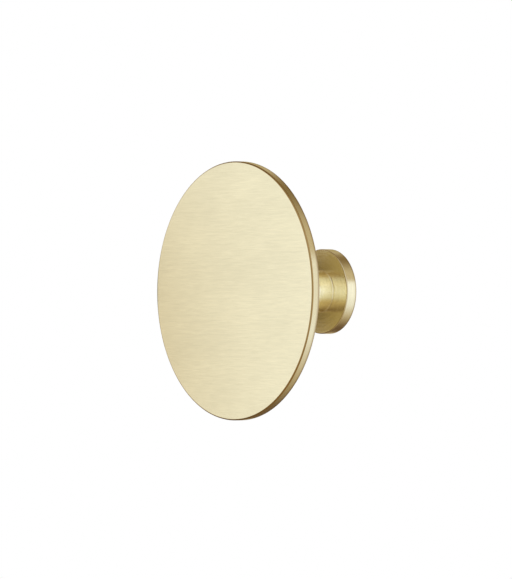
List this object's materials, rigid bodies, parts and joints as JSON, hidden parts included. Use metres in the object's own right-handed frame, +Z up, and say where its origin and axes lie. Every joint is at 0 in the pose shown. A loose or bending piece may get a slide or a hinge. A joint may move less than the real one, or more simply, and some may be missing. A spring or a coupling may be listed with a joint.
{
  "type": "cabinet knob",
  "caption": "Turned brass cabinet knob: a thin flat disc on a short straight neck that ends in a round foot, with a tapped hole in its back for a machine screw.",
  "frame": {"origin": "centre of the foot's back face, at the mouth of the tapped hole, where the knob meets the door or drawer front", "axes": "+Y along the knob's axis and into the door, so the disc faces -Y; +Z is up as the knob sits on an upright front; X lies across"},
  "size_m": [0.05, 0.024, 0.05],
  "materials": {
    "satin_brass": "satin, brushed in straight lines across the face and round the rims, neck and foot"
  },
  "bodies": {
    "root": {"knob": "satin_brass"}
  },
  "joints": []
}
